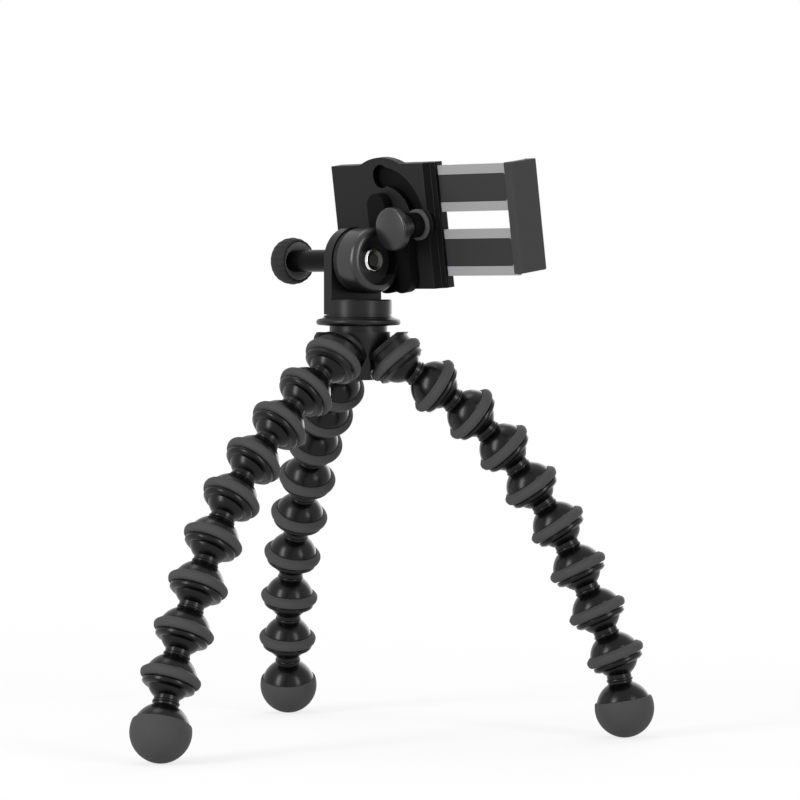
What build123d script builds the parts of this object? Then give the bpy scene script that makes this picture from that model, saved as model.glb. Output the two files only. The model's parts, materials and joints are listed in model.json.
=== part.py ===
"""Flexible leg tripod with a tilting phone clamp, every piece its own solid."""

import os
from math import asin, cos, degrees, radians, sin, sqrt

from build123d import *

# Leg balls and necks, measured down the leg from the centre of the ball
ball_r = 8.7
ball_clearance = 0.05
core_r = 2.6
core_end = 4.6
neck_r = 4.95
collar_r = 5.35
collar_gap = 1.54
collar_length = 1.2

# Walls of a socket, each outside the one before
socket_wall = 0.85
groove_depth = 0.15
lip_height = 0.8
dome_height = 0.75
mouth_width = 1.06
dome_neck = 0.08

# Grip rings, measured out from the seat and down from the centre of their socket
grip_height = 2.4
grip_head_height = 0.9
grip_side_height = 2.0
grip_tail_height = 1.3
grip_top = -3.17
grip_shoulder = -2.17
grip_crest = -0.97
grip_heel = 0.43
grip_end = 1.03
lip_groove_end = 1.53
lip_end = 2.93
mouth_end = 3.88

# Feet, their edge measured from the centre of the rubber cap
foot_r = 12.0
foot_dome_step = 0.7
foot_neck = 0.82
foot_edge = -3.48
foot_wall = 2.4

# Sizes that follow from the leg's own
socket_reach = ball_r + ball_clearance
seat_r = socket_reach + socket_wall
groove_r = seat_r - groove_depth
lip_r = seat_r + lip_height
mouth_edge_r = sqrt(socket_reach**2 - mouth_end**2)
mouth_r = mouth_edge_r + mouth_width
grip_r = seat_r + grip_height
grip_head_r = seat_r + grip_head_height
grip_side_r = seat_r + grip_side_height
grip_tail_r = seat_r + grip_tail_height
dome_r = seat_r + dome_height
neck_waist = sqrt(ball_r**2 - neck_r**2)
collar_start = neck_waist + collar_gap
collar_end = collar_start + collar_length
bead_pitch = collar_end + dome_neck + sqrt(dome_r**2 - neck_r**2)
foot_dome_r = foot_r - foot_dome_step
foot_core_r = foot_r - foot_wall
foot_reach = collar_end + foot_neck + sqrt(foot_dome_r**2 - neck_r**2)

# Bearing and droop of each bead and of the foot, down each leg, in degrees
leg_angles = {
    "right_leg": [
        (12.3, 33.1),
        (15.6, 37.0),
        (12.1, 45.6),
        (9.2, 54.5),
        (-0.5, 56.0),
        (-6.5, 64.6),
        (-7.3, 65.8),
        (-6.5, 67.7),
        (-8.2, 79.5),
    ],
    "left_leg": [
        (-137.7, 40.1),
        (-136.3, 42.2),
        (-135.7, 44.9),
        (-131.8, 49.4),
        (-131.0, 57.3),
        (-127.8, 62.5),
        (-130.0, 65.1),
        (-127.1, 65.8),
        (-110.8, 65.8),
    ],
    "rear_leg": [
        (107.0, 36.6),
        (107.7, 34.4),
        (108.9, 42.0),
        (106.0, 53.5),
        (110.6, 57.9),
        (111.4, 64.2),
        (105.2, 73.2),
        (98.2, 71.3),
        (87.8, 72.0),
    ],
}
socket_bearing_angles = {"right_leg": -10.3, "left_leg": -130.3, "rear_leg": 109.7}
socket_droop_angle = 48.6

# Hub, its heights measured from the centres of its sockets
socket_ring_r = 15.85
hub_floor = -7.6
hub_floor_r = 6.4
hub_waist = -1.4
hub_waist_r = 10.4
hub_shoulder = 9.3
hub_shoulder_r = 12.8
hub_rim = 11.7
hub_neck_r = 11.6
hub_top = 14.0
cup_wall = 0.3
boss_wall = 1.4
boss_step = 0.1
boss_depth = 8.0
boss_front = -6.3
ring_room = 0.3
ring_room_start = -3.35
ring_room_length = 16.0
cup_r = seat_r + cup_wall
boss_r = cup_r + boss_wall
boss_hollow_r = boss_r - boss_step
ring_room_r = grip_r + ring_room

# Tripod screw, a quarter inch across
screw_r = 3.175
screw_head_r = 4.8
screw_head_bottom = 1.6
screw_head_top = 5.2

# Platform lock wheel
wheel_gap = 0.05
wheel_r = 16.9
wheel_crest = 1.6
wheel_rim_depth = 0.9
wheel_rim_low = 0.35
wheel_rim_high = 2.75
wheel_top_r = 13.6
wheel_h = 3.6
wheel_groove_inset = 1.9
wheel_groove_depth = 0.35
wheel_groove_w = 0.5
wheel_rim_r = wheel_r - wheel_rim_depth
wheel_groove_r = wheel_r - wheel_groove_inset

# Turning base and its upright ear
base_r = 13.4
base_h = 6.95
base_seam = 0.6
base_seam_w = 0.35
base_seam_depth = 0.4
base_edge = 0.5
hinge_rise = 22.55
ear_end = -1.14
ear_thickness = 4.61
insert_r = 4.75
insert_start = 0.3
insert_h = 5.4
running_gap = 0.05
ear_start = ear_end - ear_thickness

# Head bearing and lean, in degrees
head_yaw_angle = 47.4
head_lean_angle = 8.0

# Friction washer between the ear and the barrel
washer_inset = 0.8
washer_gap = 0.1
washer_thickness = 2.8
washer_r = base_r - washer_inset
barrel_start = ear_end + washer_thickness + washer_gap

# Tilting barrel
barrel_length = 10.31
barrel_r = 13.2
barrel_edge = 3.0
recess_wall = 3.2
recess_depth = 4.8
recess_gap = 0.1
hinge_bolt_r = 2.5
nut_r = 4.9
nut_h = 2.53
nut_edge = 0.7
nut_rim = 1.0
nut_dish_depth = 0.9
barrel_end = barrel_start + barrel_length
recess_r = barrel_r - recess_wall
nut_start = barrel_end - recess_depth + recess_gap
nut_end = nut_start + nut_h
nut_dish_r = nut_r - nut_rim

# Bracket that carries the clamp, measured from the hinge line
bracket_back = -13.7
bracket_thickness = 4.2
pivot_a = 3.0
pivot_up = 12.4
bar_half = 5.1
bar_top = 25.5
bar_bottom = -4.0
flange_r = 13.6
flange_a = 4.7
flange_up = -1.1
flange_right = 19.4
flange_corner = 6.2
ear_clearance = 0.35
ear_room_start = -12.0
ear_room_gap = 0.1
ear_room_up = 2.0
slot_r = 19.6
arm_step = 1.15
arm_thickness = 5.05
arm_half = 5.0
bracket_front = bracket_back + bracket_thickness
ear_room_r = base_r + ear_clearance
ear_room_end = barrel_start - ear_room_gap
arm_back = bracket_back + arm_step
arm_front = arm_back + arm_thickness

# Clamp back plate and its arc slot
plate_gap = 0.3
plate_thickness = 3.2
plate_left = -26.2
plate_right = 32.6
plate_bottom = -13.5
plate_top = 36.8
plate_corner = 1.5
hump_r = 27.2
ridge_width = 4.8
slope_drop = 2.0
slope_width = 2.4
end_drop = 2.4
ridge_boss_r = 8.0
slot_half = 3.8
slot_key_r = 4.8
track_half = 6.05
track_depth = 1.8
plate_back = bracket_back - plate_gap
plate_front = plate_back - plate_thickness
ridge_a = plate_right - ridge_width

# Pivot screw, lock screw, bush and sliding nut
pivot_r = 2.5
pivot_head_r = 4.6
pivot_seat = 0.1
track_gap = 0.1
head_room = 0.1
lock_bolt_r = 2.0
nut_room = 0.15
bush_r = 6.2
bush_rim_r = 4.9
bush_sleeve_gap = 0.1
bush_lift = 0.05
bush_thickness = 1.3
bush_dish = 0.8
bush_rib_w = 0.9
bush_rib_reach = 3.6
bush_rib_step = 2.2
bush_room = 0.2
bolt_seat = 0.1
pivot_front = bracket_front - pivot_seat
head_back = plate_front + track_gap
head_front = plate_front + track_depth - track_gap
lock_nut_r = track_half - nut_room
bush_sleeve_r = slot_half - bush_sleeve_gap
bush_face = plate_back + bush_lift
bush_front = bush_face + bush_thickness
bush_back = head_front + bush_lift

# Lock knob, measured from the front of its arm
lock_knob_r = 8.6
lock_knob_face_r = 8.2
lock_stem_gap = 0.1
lock_knob_cone = 3.7
lock_knob_back = 6.2
lock_knob_shoulder = 8.9
lock_knob_front = 9.3
lock_knob_crown = 1.1
lock_stem_r = 4.6
lock_bolt_reach = 8.1

# Tilt knob, measured along the hinge line
stem_r = 4.5
stem_gap = 0.1
knob_face = -35.9
knob_dish_r = 7.7
knob_dish_depth = 3.3
knob_length = 8.8
knob_body_r = 8.2
knob_back_r = 7.0
knob_grip_height = 1.35
knob_grip_crest = 5.8
knob_grip_length = 8.3
knob_bolt_bite = 8.4
knob_flutes = 22
knob_flute_r = 0.45
knob_flute_depth = 0.2
stem_start = ear_start - stem_gap
knob_dish_end = knob_face - knob_dish_depth
knob_back = knob_face - knob_length
knob_grip_r = knob_body_r + knob_grip_height
knob_grip_back = knob_face - knob_grip_length
hinge_bolt_start = knob_dish_end + knob_bolt_bite

# Clamp housing, pockets and fixed jaw
housing_depth = 3.2
cover_depth = 0.45
cover_ledge = 0.5
cover_gap = 0.05
slide_gap = 0.1
frame_thickness = 1.55
end_wall = 1.8
pocket_left = -17.7
clamp_screw_r = 0.9
clamp_screw_head_r = 1.6
clamp_screw_head_h = 1.1
clamp_screw_bite = 2.4
clamp_screw_cross = 1.9
clamp_screw_cross_w = 0.45
clamp_screw_rise = 1.8
clamp_screw_insets = (6.2, 5.6)
fixed_jaw_thickness = 5.7
jaw_low = -8.0
jaw_high = 35.8
jaw_depth = 12.3
jaw_lip_thickness = 1.3
jaw_lip_reach = 1.8
housing_back = plate_front
housing_front = housing_back - housing_depth
cover_front = housing_back - cover_depth
frame_back = cover_front - slide_gap
frame_front = frame_back - frame_thickness
pocket_front = frame_front - slide_gap
pocket_right = plate_right - end_wall
clamp_screw_up = plate_bottom + clamp_screw_rise
clamp_screw_places = [
    (plate_left + clamp_screw_insets[0], clamp_screw_up),
    (plate_right - clamp_screw_insets[1], clamp_screw_up),
]
jaw_left = plate_left
jaw_inner = jaw_left + fixed_jaw_thickness
jaw_front = housing_back - jaw_depth
jaw_lip_back = jaw_front + jaw_lip_thickness

# Sliding frame
frame_inner = 17.0
frame_outer = 72.6
frame_bar = 2.1
arm_low_bottom = -8.8
arm_low_top = 9.7
arm_high_bottom = 16.8
arm_high_top = 35.3
cross_bar = 3.0
panel_start = 9.0
panel_end = 2.2
panel_border = 3.75
panel_depth = 0.6
panel_gap = 0.05
frame_corner = 1.2
panel_left = frame_inner + panel_start
panel_right = frame_outer - panel_end
arm_spans = [(arm_low_bottom, arm_low_top), (arm_high_bottom, arm_high_top)]
cover_middle = ((pocket_left + pocket_right) / 2, (arm_low_bottom + arm_high_top) / 2)
cover_width = pocket_right - pocket_left + 2 * cover_ledge
cover_height = arm_high_top - arm_low_bottom + 2 * cover_ledge

# Moving jaw and pads
moving_jaw_thickness = 4.3
moving_jaw_rise = 1.9
jaw_edge = 0.6
pad_thickness = 1.2
pad_margin = 2.0
pad_inset = 1.8
pad_lip_gap = 0.3
rest_thickness = 0.7
rest_margin = 0.2
rest_edge = 1.4
rest_low = -4.0
rest_high = 30.0
moving_jaw_outer = frame_outer + moving_jaw_thickness
moving_jaw_back = housing_back + moving_jaw_rise
pad_back = housing_front - pad_inset
pad_front = jaw_lip_back + pad_lip_gap
rest_left = jaw_inner + jaw_lip_reach + rest_margin
rest_right = plate_right - rest_edge

# Closing springs on their rods
spring_r = 0.68
spring_wire_r = 0.15
spring_turns = 14
spring_gap = 0.2
rod_r = 0.4
rod_room = 0.1
rod_seat = 1.0
spring_rows = (11.4, 15.1)
spring_depth = (frame_back + frame_front) / 2


def heading(bearing, droop):
    """Unit vector that leaves the hub at a bearing and falls by the droop."""
    flat = cos(radians(droop))
    return Vector(flat * cos(radians(bearing)), flat * sin(radians(bearing)), -sin(radians(droop)))


def leg_fall(shape):
    """Height from a hub socket down to the floor along one leg."""
    beads = sum(bead_pitch * sin(radians(droop)) for bearing, droop in shape[:-1])
    return beads + foot_reach * sin(radians(shape[-1][1])) + foot_r


def turned_plane(origin, direction):
    """Plane whose x runs outwards and whose y runs along the direction."""
    side = direction.cross(Vector(0, 0, 1)).normalized()
    return Plane(origin=origin, x_dir=side, z_dir=side.cross(direction))


socket_z = sum(leg_fall(shape) for shape in leg_angles.values()) / len(leg_angles)


def socket_centre(leg):
    """Centre of the hub socket that holds a leg."""
    turn = radians(socket_bearing_angles[leg])
    return Vector(socket_ring_r * cos(turn), socket_ring_r * sin(turn), socket_z)


def leg_links(leg):
    """Ball centre and heading of each bead of a leg, the foot last."""
    ball = socket_centre(leg)
    links = []
    for bearing, droop in leg_angles[leg][:-1]:
        along = heading(bearing, droop)
        links.append((ball, along))
        ball = ball + along * bead_pitch
    foot_droop = degrees(asin((ball.Z - foot_r) / foot_reach))
    links.append((ball, heading(leg_angles[leg][-1][0], foot_droop)))
    return links


# Heights of the head and its own directions
wheel_z = socket_z + hub_top + wheel_gap
base_z = wheel_z + wheel_h + wheel_gap
hinge_centre = Vector(0, 0, base_z + hinge_rise)
upright = Vector(0, 0, 1)
hinge_dir = Vector(cos(radians(head_yaw_angle)), -sin(radians(head_yaw_angle)), 0)
level_back = Vector(-sin(radians(head_yaw_angle)), -cos(radians(head_yaw_angle)), 0)
lean_up = upright * cos(radians(head_lean_angle)) + level_back * sin(radians(head_lean_angle))
lean_back = level_back * cos(radians(head_lean_angle)) - upright * sin(radians(head_lean_angle))


def across_hinge(along, up=lean_up):
    """Plane square to the hinge line, its x up the head."""
    return Plane(origin=hinge_centre + hinge_dir * along, x_dir=up, z_dir=hinge_dir)


def face_plane(depth):
    """Plane parallel to the clamp, its x along the slide and its y up the head."""
    return Plane(origin=hinge_centre + lean_back * depth, x_dir=hinge_dir, z_dir=lean_back)


def turned_about(axis_point, direction, x_dir):
    """Plane for a section turned about a line, its y along that line."""
    return Plane(origin=axis_point, x_dir=x_dir, z_dir=x_dir.cross(direction))


hinge_section = turned_about(hinge_centre, hinge_dir, upright)
hinge_line = Axis(hinge_centre, hinge_dir)
lock_a = pivot_a + slot_r
lock_centre = hinge_centre + hinge_dir * lock_a + lean_up * pivot_up
lock_section = turned_about(lock_centre + lean_back * arm_front, lean_back, hinge_dir)
lock_line = Axis(lock_centre, lean_back)


def ball_and_neck():
    """Outline of a leg ball and neck, from its cored top down to the flare."""
    crown = -sqrt(ball_r**2 - core_r**2)
    ThreePointArc((core_r, crown), (ball_r, 0), (neck_r, neck_waist))
    Line((neck_r, neck_waist), (neck_r, collar_start))
    ThreePointArc(
        (neck_r, collar_start),
        (collar_r, (collar_start + collar_end) / 2),
        (neck_r, collar_end),
    )
    return crown


def dome_outline(radius, centre, end):
    """Round dome from the neck down to its end, which is measured from the dome's centre."""
    start = centre - sqrt(radius**2 - neck_r**2)
    end_r = sqrt(radius**2 - end**2)
    Line((neck_r, collar_end), (neck_r, start))
    RadiusArc((neck_r, start), (end_r, centre + end), radius)
    return end_r


def bead_shell(frame):
    """Ball, neck, dome and socket of one bead."""
    with BuildPart() as shell:
        with BuildSketch(frame):
            with BuildLine():
                crown = ball_and_neck()
                dome_end_r = dome_outline(dome_r, bead_pitch, grip_top)
                Polyline(
                    (dome_end_r, bead_pitch + grip_top),
                    (seat_r, bead_pitch + grip_top),
                    (seat_r, bead_pitch + grip_end),
                    (groove_r, bead_pitch + grip_end),
                    (groove_r, bead_pitch + lip_groove_end),
                    (lip_r, bead_pitch + lip_groove_end),
                    (lip_r, bead_pitch + lip_end),
                    (mouth_r, bead_pitch + mouth_end),
                    (mouth_edge_r, bead_pitch + mouth_end),
                )
                ThreePointArc(
                    (mouth_edge_r, bead_pitch + mouth_end),
                    (socket_reach, bead_pitch),
                    (0, bead_pitch - socket_reach),
                )
                Polyline(
                    (0, bead_pitch - socket_reach),
                    (0, core_end),
                    (core_r, core_end),
                    (core_r, crown),
                )
            make_face()
        revolve(axis=Axis(frame.origin, frame.y_dir))
    return shell


def grip_ring(frame, centre):
    """Rubber grip ring round a socket whose centre lies this far down the frame."""
    with BuildPart() as ring:
        with BuildSketch(frame):
            with BuildLine():
                Polyline(
                    (seat_r, centre + grip_top),
                    (grip_head_r, centre + grip_top),
                    (grip_side_r, centre + grip_shoulder),
                )
                ThreePointArc(
                    (grip_side_r, centre + grip_shoulder),
                    (grip_r, centre + grip_crest),
                    (grip_side_r, centre + grip_heel),
                )
                Polyline(
                    (grip_side_r, centre + grip_heel),
                    (grip_tail_r, centre + grip_end),
                    (seat_r, centre + grip_end),
                    (seat_r, centre + grip_top),
                )
            make_face()
        revolve(axis=Axis(frame.origin, frame.y_dir))
    return ring


def foot_shell(frame):
    """Ball, neck and dome of a foot with the core that fills its rubber cap."""
    with BuildPart() as shell:
        with BuildSketch(frame):
            with BuildLine():
                crown = ball_and_neck()
                dome_end_r = dome_outline(foot_dome_r, foot_reach, foot_edge)
                Polyline(
                    (dome_end_r, foot_reach + foot_edge),
                    (foot_core_r, foot_reach + foot_edge),
                    (foot_core_r, foot_reach),
                )
                RadiusArc((foot_core_r, foot_reach), (0, foot_reach + foot_core_r), -foot_core_r)
                Polyline(
                    (0, foot_reach + foot_core_r),
                    (0, core_end),
                    (core_r, core_end),
                    (core_r, crown),
                )
            make_face()
        revolve(axis=Axis(frame.origin, frame.y_dir))
    return shell


def foot_cap(frame):
    """Rubber ball cap of a foot."""
    edge = foot_reach + foot_edge
    edge_r = sqrt(foot_r**2 - foot_edge**2)
    with BuildPart() as cap:
        with BuildSketch(frame):
            with BuildLine():
                Line((foot_core_r, edge), (edge_r, edge))
                ThreePointArc((edge_r, edge), (foot_r, foot_reach), (0, foot_reach + foot_r))
                Line((0, foot_reach + foot_r), (0, foot_reach + foot_core_r))
                RadiusArc((0, foot_reach + foot_core_r), (foot_core_r, foot_reach), foot_core_r)
                Line((foot_core_r, foot_reach), (foot_core_r, edge))
            make_face()
        revolve(axis=Axis(frame.origin, frame.y_dir))
    return cap


def hub_body():
    """Moulded hub with three sockets and the seat of the tripod screw."""
    frames = [turned_plane(socket_centre(leg), heading(socket_bearing_angles[leg], socket_droop_angle)) for leg in leg_angles]
    with BuildPart() as hub:
        for frame in frames:
            with BuildSketch(Plane(origin=frame.origin - frame.y_dir * boss_depth, z_dir=frame.y_dir)):
                Circle(boss_r)
            extrude(amount=boss_depth + boss_front)
        split(bisect_by=Plane.XY.offset(socket_z + hub_rim), keep=Keep.BOTTOM)
        with BuildSketch(Plane.XZ):
            with BuildLine():
                Polyline(
                    (0, socket_z + hub_floor),
                    (hub_floor_r, socket_z + hub_floor),
                    (hub_waist_r, socket_z + hub_waist),
                    (hub_shoulder_r, socket_z + hub_shoulder),
                    (hub_shoulder_r, socket_z + hub_rim),
                    (hub_neck_r, socket_z + hub_rim),
                    (hub_neck_r, socket_z + hub_top),
                    (0, socket_z + hub_top),
                    (0, socket_z + hub_floor),
                )
            make_face()
        revolve(axis=Axis.Z)
        for frame in frames:
            with BuildSketch(Plane(origin=frame.origin + frame.y_dir * boss_front, z_dir=frame.y_dir)):
                Circle(boss_hollow_r)
            extrude(amount=ring_room_length, mode=Mode.SUBTRACT)
            with BuildSketch(Plane(origin=frame.origin + frame.y_dir * ring_room_start, z_dir=frame.y_dir)):
                Circle(ring_room_r)
            extrude(amount=ring_room_length, mode=Mode.SUBTRACT)
        for frame in frames:
            with BuildSketch(frame):
                with BuildLine():
                    Polyline(
                        (0, boss_front - slide_gap),
                        (cup_r, boss_front - slide_gap),
                        (cup_r, grip_top),
                        (seat_r, grip_top),
                        (seat_r, grip_end),
                        (groove_r, grip_end),
                        (groove_r, lip_groove_end),
                        (lip_r, lip_groove_end),
                        (lip_r, lip_end),
                        (mouth_r, mouth_end),
                        (0, mouth_end),
                        (0, boss_front - slide_gap),
                    )
                make_face()
            revolve(axis=Axis(frame.origin, frame.y_dir))
        with Locations(*[frame.origin for frame in frames]):
            Sphere(socket_reach, mode=Mode.SUBTRACT)
        with BuildSketch(Plane.XY.offset(socket_z + screw_head_bottom)):
            Circle(screw_head_r)
        extrude(amount=screw_head_top - screw_head_bottom, mode=Mode.SUBTRACT)
        with BuildSketch(Plane.XY.offset(socket_z + screw_head_top)):
            Circle(screw_r)
        extrude(amount=hub_top - screw_head_top, mode=Mode.SUBTRACT)
    return hub


def hub_grip_rings():
    """The three rubber rings on the hub sockets."""
    rings = []
    for leg in leg_angles:
        frame = turned_plane(socket_centre(leg), heading(socket_bearing_angles[leg], socket_droop_angle))
        rings.append(grip_ring(frame, 0).part)
    with BuildPart() as group:
        add(rings)
    return group


def tripod_screw():
    """Quarter inch stud moulded into the hub."""
    with BuildPart() as screw:
        with BuildSketch(Plane.XY.offset(socket_z + screw_head_bottom)):
            Circle(screw_head_r)
        extrude(amount=screw_head_top - screw_head_bottom)
        with BuildSketch(Plane.XY.offset(socket_z + screw_head_top)):
            Circle(screw_r)
        extrude(amount=base_z - socket_z - screw_head_top + insert_start + insert_h - running_gap)
    return screw


def lock_wheel():
    """Thin wheel with a rounded rim under the turning base."""
    with BuildPart() as wheel:
        with BuildSketch(Plane.XZ):
            with BuildLine():
                Polyline(
                    (screw_r + running_gap, wheel_z),
                    (hub_neck_r, wheel_z),
                    (wheel_rim_r, wheel_z + wheel_rim_low),
                )
                ThreePointArc(
                    (wheel_rim_r, wheel_z + wheel_rim_low),
                    (wheel_r, wheel_z + wheel_crest),
                    (wheel_rim_r, wheel_z + wheel_rim_high),
                )
                Polyline(
                    (wheel_rim_r, wheel_z + wheel_rim_high),
                    (wheel_top_r, wheel_z + wheel_h),
                    (screw_r + running_gap, wheel_z + wheel_h),
                    (screw_r + running_gap, wheel_z),
                )
            make_face()
        revolve(axis=Axis.Z)
        with BuildSketch(Plane.XY.offset(wheel_z + wheel_h)):
            Circle(wheel_groove_r)
            Circle(wheel_groove_r - wheel_groove_w, mode=Mode.SUBTRACT)
        extrude(amount=-wheel_h + wheel_rim_high - wheel_groove_depth, mode=Mode.SUBTRACT)
    return wheel


def turning_base():
    """Round base with the upright ear of the tilt hinge."""
    with BuildPart() as base:
        with BuildSketch(Plane.XY.offset(base_z)):
            Circle(base_r)
        extrude(amount=base_h)
        chamfer(base.faces().sort_by(Axis.Z)[-1].edges(), base_edge)
        with BuildSketch(across_hinge(ear_start, upright)) as ear:
            Circle(base_r)
            Rectangle(hinge_rise, 2 * base_r, align=(Align.MAX, Align.CENTER))
        extrude(amount=ear_thickness)
        with BuildSketch(Plane.XY.offset(base_z + base_seam)):
            Circle(base_r + ear_thickness)
            Circle(base_r - base_seam_depth, mode=Mode.SUBTRACT)
        extrude(amount=base_seam_w, mode=Mode.SUBTRACT)
        with BuildSketch(Plane.XY.offset(base_z)):
            Circle(insert_r)
        extrude(amount=insert_start + insert_h, mode=Mode.SUBTRACT)
        with BuildSketch(across_hinge(ear_start, upright)):
            Circle(hinge_bolt_r + running_gap)
        extrude(amount=ear_thickness, mode=Mode.SUBTRACT)
    return base


def base_insert():
    """Brass thread insert pressed into the base."""
    with BuildPart() as insert:
        with BuildSketch(Plane.XY.offset(base_z + insert_start)):
            Circle(insert_r)
            Circle(screw_r + running_gap, mode=Mode.SUBTRACT)
        extrude(amount=insert_h)
    return insert


def friction_washer():
    """Washer that fills the gap between the ear and the barrel."""
    with BuildPart() as washer:
        with BuildSketch(across_hinge(ear_end)):
            Circle(washer_r)
            Circle(hinge_bolt_r + running_gap, mode=Mode.SUBTRACT)
        extrude(amount=washer_thickness)
    return washer


def tilt_block():
    """Barrel with the bar and the arm that carry the clamp."""
    with BuildPart() as block:
        with BuildSketch(across_hinge(barrel_start)):
            Circle(barrel_r)
        extrude(amount=barrel_length)
        fillet(block.faces().sort_by(hinge_line)[-1].edges(), barrel_edge)
        with BuildSketch(face_plane(bracket_back)):
            with Locations((flange_a, flange_up)):
                Circle(flange_r)
            with Locations((flange_right - flange_corner, flange_up - flange_r + flange_corner)):
                Circle(flange_corner)
                Rectangle(
                    flange_corner,
                    pivot_up - flange_up + flange_r - flange_corner,
                    align=(Align.MIN, Align.MIN),
                )
            with Locations((pivot_a, bar_top - bar_half)):
                Circle(bar_half)
            with Locations((pivot_a, bar_bottom)):
                Rectangle(2 * bar_half, bar_top - bar_half - bar_bottom, align=(Align.CENTER, Align.MIN))
        extrude(amount=bracket_thickness)
        with BuildSketch(face_plane(arm_back)):
            with Locations((lock_a, pivot_up)):
                Circle(arm_half)
            with Locations((pivot_a, pivot_up)):
                Rectangle(slot_r, 2 * arm_half, align=(Align.MIN, Align.CENTER))
        extrude(amount=arm_thickness)
        with BuildSketch(across_hinge(ear_room_start)):
            Circle(ear_room_r)
            with Locations((ear_room_up, 0)):
                Rectangle(2 * ear_room_r, 2 * ear_room_r, align=(Align.MAX, Align.CENTER))
        extrude(amount=ear_room_end - ear_room_start, mode=Mode.SUBTRACT)
        with BuildSketch(face_plane(bracket_back)):
            with Locations((lock_a, pivot_up)):
                Circle(bush_r + bush_room)
        extrude(amount=arm_step, mode=Mode.SUBTRACT)
        with BuildSketch(across_hinge(barrel_end)):
            Circle(recess_r)
        extrude(amount=-recess_depth, mode=Mode.SUBTRACT)
        with BuildSketch(across_hinge(barrel_start)):
            Circle(hinge_bolt_r + running_gap)
        extrude(amount=barrel_length, mode=Mode.SUBTRACT)
        with BuildSketch(face_plane(bracket_back)):
            with Locations((pivot_a, pivot_up)):
                Circle(pivot_r)
        extrude(amount=pivot_front - bracket_back, mode=Mode.SUBTRACT)
        with BuildSketch(face_plane(arm_back)):
            with Locations((lock_a, pivot_up)):
                Circle(lock_bolt_r + running_gap)
        extrude(amount=arm_thickness, mode=Mode.SUBTRACT)
    return block


def hinge_nut():
    """Bright round nut in the barrel's recess."""
    with BuildPart() as nut:
        with BuildSketch(hinge_section):
            with BuildLine():
                Polyline(
                    (hinge_bolt_r + running_gap, nut_start),
                    (nut_r, nut_start),
                    (nut_r, nut_end - nut_edge),
                    (nut_r - nut_edge, nut_end),
                    (nut_dish_r, nut_end),
                    (hinge_bolt_r + running_gap, nut_end - nut_dish_depth),
                    (hinge_bolt_r + running_gap, nut_start),
                )
            make_face()
        revolve(axis=hinge_line)
    return nut


def hinge_bolt():
    """Steel bolt through the tilt hinge."""
    with BuildPart() as bolt:
        with BuildSketch(across_hinge(hinge_bolt_start)):
            Circle(hinge_bolt_r)
        extrude(amount=nut_end - nut_dish_depth - hinge_bolt_start)
    return bolt


def tilt_knob():
    """Knob body with its long stem and dished inner face."""
    with BuildPart() as knob:
        with BuildSketch(hinge_section):
            with BuildLine():
                Polyline(
                    (0, knob_back),
                    (knob_back_r, knob_back),
                    (knob_body_r, knob_grip_back),
                    (knob_body_r, knob_face),
                    (knob_dish_r, knob_face),
                    (stem_r, knob_dish_end),
                    (stem_r, stem_start),
                    (hinge_bolt_r, stem_start),
                    (hinge_bolt_r, hinge_bolt_start),
                    (0, hinge_bolt_start),
                    (0, knob_back),
                )
            make_face()
        revolve(axis=hinge_line)
    return knob


def tilt_knob_grip():
    """Fluted rubber rim of the tilt knob."""
    with BuildPart() as grip:
        with BuildSketch(hinge_section):
            with BuildLine():
                Line((knob_body_r, knob_face), (knob_body_r, knob_grip_back))
                ThreePointArc(
                    (knob_body_r, knob_grip_back),
                    (knob_grip_r, knob_face - knob_grip_crest),
                    (knob_body_r, knob_face),
                )
            make_face()
        revolve(axis=hinge_line)
        with BuildSketch(across_hinge(knob_back)):
            with PolarLocations(knob_grip_r + knob_flute_r - knob_flute_depth, knob_flutes):
                Circle(knob_flute_r)
        extrude(amount=knob_length, mode=Mode.SUBTRACT)
    return grip


def pivot_bolt():
    """Headed pivot screw on which the clamp turns."""
    with BuildPart() as bolt:
        with BuildSketch(face_plane(head_back)):
            with Locations((pivot_a, pivot_up)):
                Circle(pivot_head_r)
        extrude(amount=head_front - head_back)
        with BuildSketch(face_plane(head_front)):
            with Locations((pivot_a, pivot_up)):
                Circle(pivot_r)
        extrude(amount=pivot_front - head_front)
    return bolt


def slot_nut():
    """Round nut that slides in the track behind the arc slot."""
    with BuildPart() as nut:
        with BuildSketch(face_plane(head_back)):
            with Locations((lock_a, pivot_up)):
                Circle(lock_nut_r)
                Circle(lock_bolt_r + running_gap, mode=Mode.SUBTRACT)
        extrude(amount=head_front - head_back)
    return nut


def slot_bush():
    """Pale flanged bush in the arc slot, its face cored between three ribs."""
    with BuildPart() as bush:
        with BuildSketch(face_plane(bush_face)):
            with Locations((lock_a, pivot_up)):
                Circle(bush_r)
        extrude(amount=bush_thickness)
        with BuildSketch(face_plane(bush_back)):
            with Locations((lock_a, pivot_up)):
                Circle(bush_sleeve_r)
        extrude(amount=bush_face - bush_back)
        with BuildSketch(face_plane(bush_front)):
            with Locations((lock_a, pivot_up)):
                Circle(bush_rim_r)
            with Locations(
                (lock_a + bush_rib_reach / 2, pivot_up - bush_rib_step),
                (lock_a + bush_rib_reach / 2, pivot_up),
                (lock_a + bush_rib_reach / 2, pivot_up + bush_rib_step),
            ):
                Rectangle(bush_rib_reach, bush_rib_w, mode=Mode.SUBTRACT)
        extrude(amount=-bush_dish, mode=Mode.SUBTRACT)
        with BuildSketch(face_plane(bush_back)):
            with Locations((lock_a, pivot_up)):
                Circle(lock_bolt_r + running_gap)
        extrude(amount=bush_front - bush_back, mode=Mode.SUBTRACT)
    return bush


def lock_bolt():
    """Screw of the lock knob, from the sliding nut up into the knob."""
    with BuildPart() as bolt:
        with BuildSketch(face_plane(head_back)):
            with Locations((lock_a, pivot_up)):
                Circle(lock_bolt_r)
        extrude(amount=arm_front + lock_bolt_reach - head_back)
    return bolt


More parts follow.
